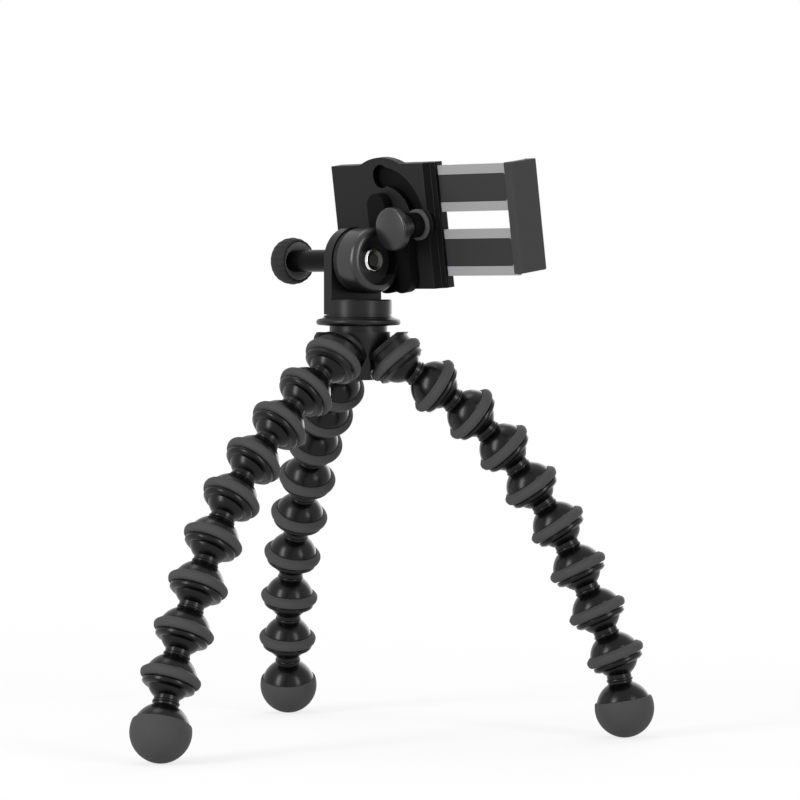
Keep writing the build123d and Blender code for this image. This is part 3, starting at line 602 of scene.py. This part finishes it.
@dataclass(frozen=True)
class BeadSizes:
    """Profile of a leg bead, in millimetres.

    The ball, neck and collar are measured from the ball's centre towards the foot. The
    ring, lip and mouth are measured from the socket's centre, and the foot's edge from
    the centre of the rubber ball.
    """

    pitch: float = 19.064
    ball: float = 8.7
    socket: float = 8.75
    core: float = 2.6
    core_end: float = 4.6
    neck: float = 4.95
    collar: float = 5.35
    collar_start: float = 8.695
    collar_end: float = 9.895
    dome_r: float = 10.35
    seat: float = 9.6
    groove: float = 9.45
    lip: float = 10.4
    mouth: float = 8.902
    grip_head_r: float = 10.5
    grip_side_r: float = 11.6
    grip_r: float = 12.0
    grip_tail_r: float = 10.9
    grip_top: float = -3.17
    grip_shoulder: float = -2.17
    grip_crest: float = -0.97
    grip_heel: float = 0.43
    grip_end: float = 1.03
    groove_end: float = 1.53
    lip_end: float = 2.93
    mouth_end: float = 3.88
    foot_reach: float = 20.873
    foot_r: float = 12.0
    foot_edge: float = -3.48
    foot_dome_r: float = 11.3
    foot_gap: float = 0.02
    foot_shoulder: float = 0.1
    foot_round: float = 0.06
    cap_turn: float = 4.0
    cap_round: float = 0.35
    core_rim: float = 0.8
    core_round: float = 0.3
    dome_gap: float = 0.1
    seat_round: float = 0.05
    groove_round: float = 0.1
    lip_round: float = 0.28
    lip_end_round: float = 0.55
    mouth_round: float = 0.4
    grip_head_in: float = 0.1
    grip_side_in: float = 0.45
    grip_side_up: float = 0.35
    grip_side_out: float = 0.12
    grip_side_down: float = 0.2
    columns: int = 72
    ball_steps: int = 26
    collar_steps: int = 7
    dome_steps: int = 24
    socket_steps: int = 18
    cap_steps: int = 44
    grip_steps: int = 5
    corner_steps: int = 6


@dataclass
class Leg:
    """One leg of eight beads and a foot, placed by the frame's joints."""

    name: str
    sizes: BeadSizes = field(default_factory=BeadSizes)
    beads: int = 8

    def ball_and_collar(self) -> np.ndarray:
        """Outline of the ball, neck and collar, from the well inside the ball.

        Returns:
            Radius and height of each point, in millimetres.
        """
        s = self.sizes
        crown = 180 - np.degrees(np.arcsin(s.core / s.ball))
        waist = np.degrees(np.arcsin(s.neck / s.ball))
        well = rounded(
            [
                (0.0, s.core_end, 0),
                (s.core, s.core_end, s.core_round),
                (s.core, -s.ball + s.core_rim, 0),
            ]
        )
        ball = arc(s.ball, 0.0, crown, waist, s.ball_steps)
        bulge = np.linspace(0.0, np.pi, s.collar_steps)
        middle, half = (s.collar_start + s.collar_end) / 2, (s.collar_end - s.collar_start) / 2
        collar = np.stack(
            [s.neck + (s.collar - s.neck) * np.sin(bulge), middle - half * np.cos(bulge)], axis=1
        )
        return np.vstack([well, ball, collar])

    def dome(self, radius: float, centre: float, end: float) -> np.ndarray:
        """Outline of a round dome from the neck to its end.

        Args:
            radius: the dome's radius.
            centre: height of its centre.
            end: height of its end, from the dome's centre.

        Returns:
            Radius and height of each point, in millimetres.
        """
        start = 180 - np.degrees(np.arcsin(self.sizes.neck / radius))
        stop = np.degrees(np.arccos(end / radius))
        return arc(radius, centre, start, stop, self.sizes.dome_steps)

    def bead_profile(self) -> np.ndarray:
        """Closed outline of a bead's moulded shell, from the spindle to the spindle.

        Returns:
            Radius and height of each point, in millimetres.
        """
        s = self.sizes
        dome = self.dome(s.dome_r, s.pitch, s.grip_top - s.dome_gap)
        mouth_edge = float(np.sqrt(s.socket**2 - s.mouth_end**2))
        lip = rounded(
            [
                (dome[-1, 0], s.grip_top - s.dome_gap, 0),
                (dome[-1, 0] - s.seat_round, s.grip_top, s.seat_round),
                (s.seat, s.grip_top, 0),
                (s.seat, s.grip_end, 0),
                (s.groove, s.grip_end, 0),
                (s.groove, s.groove_end, s.groove_round),
                (s.lip, s.groove_end, s.lip_round),
                (s.lip, s.lip_end, s.lip_end_round),
                (s.mouth, s.mouth_end, s.mouth_round),
                (mouth_edge, s.mouth_end, 0),
            ]
        )
        lip[:, 1] += s.pitch
        mouth_angle = np.degrees(np.arccos(s.mouth_end / s.socket))
        socket = arc(s.socket, s.pitch, mouth_angle, 180.0, s.socket_steps)
        return np.vstack([self.ball_and_collar(), dome, lip[1:], socket])

    def foot_profile(self) -> np.ndarray:
        """Closed outline of the foot's moulding.

        Returns:
            Radius and height of each point, in millimetres.
        """
        s = self.sizes
        dome = self.dome(s.foot_dome_r, s.foot_reach, s.foot_edge - s.dome_gap)
        close = rounded(
            [
                (dome[-1, 0], s.foot_edge - s.dome_gap, 0),
                (dome[-1, 0] - s.foot_shoulder, s.foot_edge + s.foot_gap, s.foot_round),
                (s.seat, s.foot_edge + s.foot_gap, 0),
                (s.seat, 0.0, 0),
                (0.0, 0.0, 0),
            ]
        )
        close[:, 1] += s.foot_reach
        return np.vstack([self.ball_and_collar(), dome, close[1:]])

    def cap_profile(self) -> np.ndarray:
        """Closed outline of the foot's rubber cap: a ball cut flat above.

        Returns:
            Radius and height of each point, in millimetres.
        """
        s = self.sizes
        cut = np.degrees(np.arccos(s.foot_edge / s.foot_r))
        ball = arc(s.foot_r, 0.0, cut - s.cap_turn, 0.0, s.cap_steps)
        edge = float(np.sqrt(s.foot_r**2 - s.foot_edge**2))
        shoulder = rounded(
            [
                (s.seat, 0.0, 0),
                (s.seat, s.foot_edge, 0),
                (edge - s.seat_round, s.foot_edge, s.cap_round),
                (ball[0, 0], ball[0, 1], 0),
            ],
            s.corner_steps,
        )
        whole = np.vstack([[[0.0, 0.0]], shoulder[:-1], ball])
        whole[:, 1] += s.foot_reach
        return whole

    def grip_profile(self, centre: float) -> np.ndarray:
        """Outline of a rubber grip ring: a cone, a round rib and a tail.

        Args:
            centre: place of the socket's centre on the spindle, in millimetres.

        Returns:
            Radius and height of each point.
        """
        s = self.sizes
        outer = smooth_through(
            [
                (s.grip_head_r - s.grip_head_in, s.grip_top),
                (s.grip_side_r - s.grip_side_in, s.grip_shoulder - s.grip_side_up),
                (s.grip_side_r + s.grip_side_out, s.grip_shoulder + s.grip_side_down),
                (s.grip_r, s.grip_crest),
                (s.grip_side_r, s.grip_heel),
                (s.grip_tail_r, s.grip_end),
            ],
            s.grip_steps,
        )
        inner = np.array([(s.seat, s.grip_end), (s.seat, s.grip_top)])
        whole = np.vstack([outer, inner])
        whole[:, 1] += centre
        return whole

    def spindle(self, number: int) -> Spindle:
        """Line of a bead or of the foot.

        Args:
            number: number of the bead, or one more than the last for the foot.

        Returns:
            The line, pointing down the leg.
        """
        body = self.body(number)
        start = joint_at(body)
        if number < self.beads + 1:
            return Spindle(start, unit(joint_at(self.body(number + 1)) - start))
        return Spindle(start, unit(self.foot_centre(start) - start))

    def foot_centre(self, start: np.ndarray) -> np.ndarray:
        """Centre of the rubber ball: a radius in from the sides that the cap fills.

        Args:
            start: place of the foot's joint, in metres.

        Returns:
            The centre, in metres.
        """
        radius = self.sizes.foot_r * MM
        low, high = (np.array(corner, float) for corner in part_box(f"{self.name}_foot_cap"))
        outward = (low + high) / 2 - start
        centre = np.where(outward > 0, high - radius, low + radius)
        centre[2] = low[2] + radius
        return centre

    def body(self, number: int) -> str:
        """Name of the body of a bead or of the foot.

        Args:
            number: number of the bead, or one more than the last for the foot.

        Returns:
            The body's name.
        """
        if number <= self.beads:
            return f"{self.name}_bead_{number}"
        return f"{self.name}_foot"

    def turned(
        self, name: str, profile: np.ndarray, number: int, finish: Finish, node: str
    ) -> None:
        """Turn a closed outline about a bead's own line and let it ride there.

        Args:
            name: name of the piece.
            profile: radius and height of each point, in millimetres.
            number: number of the bead, or one more than the last for the foot.
            finish: what it is made of.
            node: CAD node that it stands for.
        """
        columns = self.sizes.columns
        grid = turned_grid(profile, self.spindle(number), columns)
        touches_line = profile[0, 0] < ON_SPINDLE
        faces = grid_faces(len(profile), columns, close_rows=not touches_line)
        make_piece(name, grid, faces, finish, self.body(number), [node])

    def build(self) -> None:
        """Make every bead's shell and ring, then the foot and its cap."""
        shell, ring = self.bead_profile(), self.grip_profile(self.sizes.pitch)
        for number in range(1, self.beads + 1):
            node = self.body(number)
            self.turned(f"{node}_shell", shell, number, GLOSS_ABS, node)
            self.turned(f"{node}_ring", ring, number, GREY_TPR, node)
        last = self.beads + 1
        foot = self.body(last)
        self.turned(f"{foot}_shell", self.foot_profile(), last, GLOSS_ABS, foot)
        self.turned(f"{foot}_ball", self.cap_profile(), last, GREY_TPR, f"{foot}_cap")


# Hub and head


@dataclass
class Hub:
    """Hub moulding with its three grip rings."""

    legs: Sequence[Leg]
    bearings: tuple = (-10.3, -130.3, 109.7)
    droop: float = 48.6
    edge_mm: float = 0.45

    def socket_spindle(self, leg: Leg, bearing: float) -> Spindle:
        """Line of a hub socket, which starts where the leg's first ball sits.

        Args:
            leg: the leg in the socket.
            bearing: compass direction of the socket, in degrees from +X.

        Returns:
            The line, pointing out of the socket and down by the droop.
        """
        down, turn = radians(self.droop), radians(bearing)
        along = np.array([np.cos(down) * np.cos(turn), np.cos(down) * np.sin(turn), -np.sin(down)])
        return Spindle(joint_at(leg.body(1)), along)

    def build(self) -> None:
        """Dress the moulding and turn the three rings."""
        softened_copy("hub", SATIN_NYLON, self.edge_mm)
        for leg, bearing in zip(self.legs, self.bearings):
            profile = leg.grip_profile(0.0)
            grid = turned_grid(profile, self.socket_spindle(leg, bearing), leg.sizes.columns)
            faces = grid_faces(len(profile), leg.sizes.columns, close_rows=True)
            make_piece(f"hub_ring_{leg.name}", grid, faces, GREY_TPR, "hub", ["hub_grip_rings"])


@dataclass
class TiltKnobRim:
    """Fluted rubber rim of the tilt knob, sizes in millimetres."""

    rim_r: float = 9.55
    seat_r: float = 8.2
    seat_sunk: float = 0.4
    width: float = 8.3
    crest_share: float = 0.48
    fullness: float = 0.62
    flutes: int = 22
    depth: float = 0.32
    rows: int = 22
    columns: int = 352

    def build(self) -> None:
        """Turn the rim with a radius that dips by the depth at each flute.

        Crest = sin(pi t^k)^fullness with k set so that it peaks at the crest's share of the
        width. Dip = depth * crest * (1 + cos(flutes * angle)) / 2.
        """
        line = Spindle(joint_at("tilt_knob"), joint_axis("tilt_knob"))
        t = np.linspace(0.0, 1.0, self.rows)
        power = np.log(0.5) / np.log(self.crest_share)
        crest = np.sin(np.pi * t**power) ** self.fullness
        radius = self.seat_r + (self.rim_r - self.seat_r) * crest
        profile = np.stack([radius, self.width * t], axis=1)
        grid = turned_grid(profile, line, self.columns)
        angle = np.linspace(0.0, 2 * np.pi, self.columns, endpoint=False)
        dip = self.depth * MM * crest[:, None] * (0.5 + 0.5 * np.cos(self.flutes * angle))
        outward = grid - line.origin - (profile[:, 1] * MM)[:, None, None] * line.along
        grid = grid - outward / np.linalg.norm(outward, axis=2, keepdims=True) * dip[:, :, None]
        inner_r = self.seat_r - self.seat_sunk
        seat = turned_grid(np.array([[inner_r, self.width], [inner_r, 0.0]]), line, self.columns)
        whole = np.concatenate([grid, seat])
        faces = grid_faces(len(whole), self.columns, close_rows=True)
        make_piece("tilt_knob_rim", whole, faces, DARK_TPR, "tilt_knob", ["tilt_knob_grip"])


@dataclass
class Head:
    """Turning base, tilt hinge, knobs and clamp: CAD shapes with broken edges."""

    edges: dict = field(
        default_factory=lambda: {
            "platform_wheel": (SATIN_NYLON, 0.25),
            "turning_base": (SATIN_NYLON, 0.45),
            "tilt_block": (SATIN_ABS, 0.5),
            "tilt_knob": (SATIN_ABS, 0.4),
            "lock_knob": (SATIN_ABS, 0.6),
            "clamp_back": (DARK_ABS, 0.4),
            "clamp_housing": (DARK_ABS, 0.4),
            "moving_jaw": (JAW_ABS, 0.35),
            "slide_frame": (PALE_ACETAL, 0.3),
            "frame_panels": (PANEL_ABS, 0.2),
            "slot_bush": (BUSH_ACETAL, 0.2),
            "tilt_nut": (CHROME, 0.2),
            "fixed_jaw_pad": (DARK_TPR, 0.3),
            "moving_jaw_pad": (DARK_TPR, 0.3),
            "phone_rest_pad": (DARK_TPR, 0.2),
        }
    )
    plain: dict = field(
        default_factory=lambda: {
            "tripod_screw": ZINC,
            "base_insert": BRASS,
            "friction_washer": DARK_TPR,
            "tilt_bolt": BOLT_STEEL,
            "pivot_bolt": ZINC,
            "slot_nut": ZINC,
            # painted shade: the track cover is black all over
            "track_cover": SHADED_ABS,
            "lock_bolt": ZINC,
            "clamp_screws": ZINC,
            "spring_rods": ZINC,
            "jaw_springs": ZINC,
        }
    )

    shaded_depth: float = -7.3
    stem_r: float = 4.7
    stem_start: float = -39.0
    painted_light_dish_r: float = 7.6
    nut_dish_r: float = 3.88
    ridge_a: float = 27.9
    plate_back: float = -14.0
    plate_gap: float = 0.05
    slot_r: float = 19.6
    track_half: float = 6.3
    pivot: tuple = (3.0, 12.4)

    def places(self, piece: bpy.types.Object) -> np.ndarray:
        """Centre of each face in the head's own directions, in millimetres.

        Args:
            piece: a piece of the head.

        Returns:
            Rows of the place along the hinge, up the head and out to the back.
        """
        along, back = joint_axis("tilt_block"), joint_axis("clamp")
        axes = np.stack([along, np.cross(back, along), back], axis=1)
        centres = np.empty(3 * len(piece.data.polygons))
        piece.data.polygons.foreach_get("center", centres)
        return (centres.reshape(-1, 3) - joint_at("tilt_block")) @ axes / MM

    def shade(self, pieces: dict) -> None:
        """Repaint what looks darker or lighter than the rest of its piece.

        The bracket, the end slope and the slot's walls get painted shade, the knob's stem
        painted shade and its dish painted light, the nut's dish painted shade and the plate's
        edges a painted highlight.

        Args:
            pieces: the head's pieces by node.
        """
        block = pieces["tilt_block"]
        # painted shade on the tilt block's bracket
        repaint(block, SHADED_ABS, self.places(block)[:, 2] < self.shaded_depth)
        knob = pieces["tilt_knob"]
        a, up, depth = self.places(knob).T
        ring = np.hypot(up, depth)
        front = a > self.stem_start
        # painted shade: the knob's stem takes a darker, less reflective black than the rest of the knob
        repaint(knob, STEM_SHADE_ABS, front & (ring < self.stem_r))
        # painted light: the knob's dish takes a light grey that stands in for the reflection of its surroundings
        repaint(knob, DISH_PAINTED_LIGHT_ABS, front & (ring > self.stem_r) & (ring < self.painted_light_dish_r))
        nut = pieces["tilt_nut"]
        a, up, depth = self.places(nut).T
        # painted shade: the nut's dish takes the darker, duller bolt steel
        repaint(nut, BOLT_STEEL, np.hypot(up, depth) < self.nut_dish_r)
        plate = pieces["clamp_back"]
        a, up, depth = self.places(plate).T
        sunk = depth < self.plate_back - self.plate_gap
        ring = np.hypot(a - self.pivot[0], up - self.pivot[1])
        slot = np.abs(ring - self.slot_r) < self.track_half
        # painted shade on the slot's walls and on the end slope beyond the ridge
        repaint(plate, SHADED_ABS, sunk & (slot | (a > self.ridge_a)))
        # painted highlight: the plate's broken edges take a lighter, glossier grey
        plate.modifiers["broken_edges"].material = len(plate.data.materials)
        plate.data.materials.append(EDGE_HIGHLIGHT_ABS.material())

    def build(self) -> None:
        """Break the edges of the seen pieces and give the hidden ones their metal."""
        pieces = {}
        for node, (finish, edge) in self.edges.items():
            pieces[node] = softened_copy(node, finish, edge)
        self.shade(pieces)
        for node, finish in self.plain.items():
            mesh = frame["nodes"][node].data
            mesh.materials.clear()
            mesh.materials.append(finish.material())
        TiltKnobRim().build()


# Studio


@dataclass
class Studio:
    """Floor, world, lamps and the camera at the photograph's viewing angle."""

    camera_place: tuple = (0.01663, -1.61707, 0.17667)
    camera_pitch: float = -1.439
    lens: float = 181.8
    sensor: float = 36.0
    clip_end: float = 50.0
    aim: tuple = (0.0, 0.0, 0.12)
    lamps: tuple = (
        ("left_soft_box", (-0.95, -0.8, 0.5), (0.32, 0.95), 10.8),
        ("right_soft_box", (0.9, -0.85, 0.5), (0.26, 0.9), 6.6),
        ("top_soft_box", (-0.25, 0.2, 1.3), (0.6, 0.4), 2.2),
        ("rear_soft_box", (0.5, 1.1, 0.5), (0.9, 1.1), 6.0),
    )
    floor_size: float = 12.0
    floor_white: float = 0.75
    paper: str = "#fbfbfb"
    white: str = "#ffffff"
    white_from: float = 0.15
    white_to: float = 0.7
    world_level: float = 0.47

    def seen_directly(self, tree: bpy.types.NodeTree) -> bpy.types.NodeSocket:
        """One for rays of the camera, of reflections and of glass, else nought.

        Args:
            tree: the node tree that receives the nodes.

        Returns:
            The output socket that carries the value.
        """
        path = add_node(tree, "ShaderNodeLightPath")
        seen = path.outputs["Is Camera Ray"]
        for kind in ("Is Glossy Ray", "Is Transmission Ray"):
            links = {0: seen, 1: path.outputs[kind]}
            seen = add_node(tree, "ShaderNodeMath", {"operation": "MAXIMUM"}, links).outputs[0]
        return seen

    def floor(self) -> None:
        """Lay a plain white floor that keeps the object's shadow.

        What the camera and reflections see is the lit paper mixed with plain white. The
        share of plain white rises with the distance from the object's foot, so that the
        floor runs into the backdrop without an edge.
        """
        half = self.floor_size / 2
        mesh = bpy.data.meshes.new("studio_floor")
        corners = [(-half, -half, 0), (half, -half, 0), (half, half, 0), (-half, half, 0)]
        mesh.from_pydata(corners, [], [(0, 1, 2, 3)])
        floor = bpy.data.objects.new("studio_floor", mesh)
        bpy.context.scene.collection.objects.link(floor)
        made = bpy.data.materials.new("white_paper_floor")
        made.use_nodes = True
        tree = made.node_tree
        tree.nodes.clear()
        paper = add_node(tree, "ShaderNodeBsdfDiffuse", {"Color": linear(self.paper)})
        white = add_node(
            tree, "ShaderNodeEmission", {"Color": linear(self.white), "Strength": 1.0}
        )
        place = add_node(tree, "ShaderNodeTexCoord")
        distance = add_node(
            tree, "ShaderNodeVectorMath", {"operation": "LENGTH"}, {0: place.outputs["Object"]}
        )
        share = add_node(
            tree,
            "ShaderNodeMapRange",
            {
                "From Min": self.white_from,
                "From Max": self.white_to,
                "To Min": self.floor_white,
                "To Max": 1.0,
            },
            {"Value": distance.outputs["Value"]},
        )
        factor = add_node(
            tree,
            "ShaderNodeMath",
            {"operation": "MULTIPLY"},
            {0: share.outputs["Result"], 1: self.seen_directly(tree)},
        )
        mix = add_node(
            tree,
            "ShaderNodeMixShader",
            {},
            {0: factor.outputs[0], 1: paper.outputs[0], 2: white.outputs[0]},
        )
        add_node(tree, "ShaderNodeOutputMaterial", {}, {"Surface": mix.outputs[0]})
        mesh.materials.append(made)

    def world(self) -> None:
        """Light the scene evenly and show white to the camera and to reflections."""
        world = bpy.data.worlds.new("white_studio")
        bpy.context.scene.world = world
        world.use_nodes = True
        tree = world.node_tree
        tree.nodes.clear()
        lit, white = (
            add_node(
                tree, "ShaderNodeBackground", {"Color": linear(self.white), "Strength": level}
            )
            for level in (self.world_level, 1.0)
        )
        mix = add_node(
            tree,
            "ShaderNodeMixShader",
            {},
            {0: self.seen_directly(tree), 1: lit.outputs[0], 2: white.outputs[0]},
        )
        add_node(tree, "ShaderNodeOutputWorld", {}, {"Surface": mix.outputs[0]})

    def lamp(self, name: str, place: tuple, size: tuple, power: float) -> None:
        """Hang one soft box that faces the aim.

        Args:
            name: name of the lamp.
            place: its place, in metres.
            size: its width and height, in metres.
            power: its power in watts.
        """
        light = bpy.data.lights.new(name, "AREA")
        light.shape = "RECTANGLE"
        light.size, light.size_y = size
        light.energy = power
        lamp = bpy.data.objects.new(name, light)
        bpy.context.scene.collection.objects.link(lamp)
        lamp.location = place
        facing = Vector(self.aim) - Vector(place)
        lamp.rotation_euler = facing.to_track_quat("-Z", "Y").to_euler()

    def camera(self) -> None:
        """Stand the camera where the photograph was taken from."""
        lens = bpy.data.cameras.new("photograph_view")
        lens.lens = self.lens
        lens.sensor_width = self.sensor
        lens.clip_end = self.clip_end
        camera = bpy.data.objects.new("photograph_view", lens)
        bpy.context.scene.collection.objects.link(camera)
        camera.location = self.camera_place
        camera.rotation_euler = (radians(90 + self.camera_pitch), 0.0, 0.0)
        bpy.context.scene.camera = camera

    def build(self) -> None:
        """Set up the whole studio."""
        bpy.context.scene.view_settings.view_transform = "Standard"
        self.floor()
        self.world()
        for lamp in self.lamps:
            self.lamp(*lamp)
        self.camera()


def main() -> None:
    """Build every sub-assembly in order."""
    logging.basicConfig(level=logging.INFO, format="%(name)s %(message)s")
    legs = [Leg("right_leg"), Leg("left_leg"), Leg("rear_leg")]
    for leg in legs:
        leg.build()
    Hub(legs).build()
    Head().build()
    Studio().build()


if __name__ == "__main__":
    main()
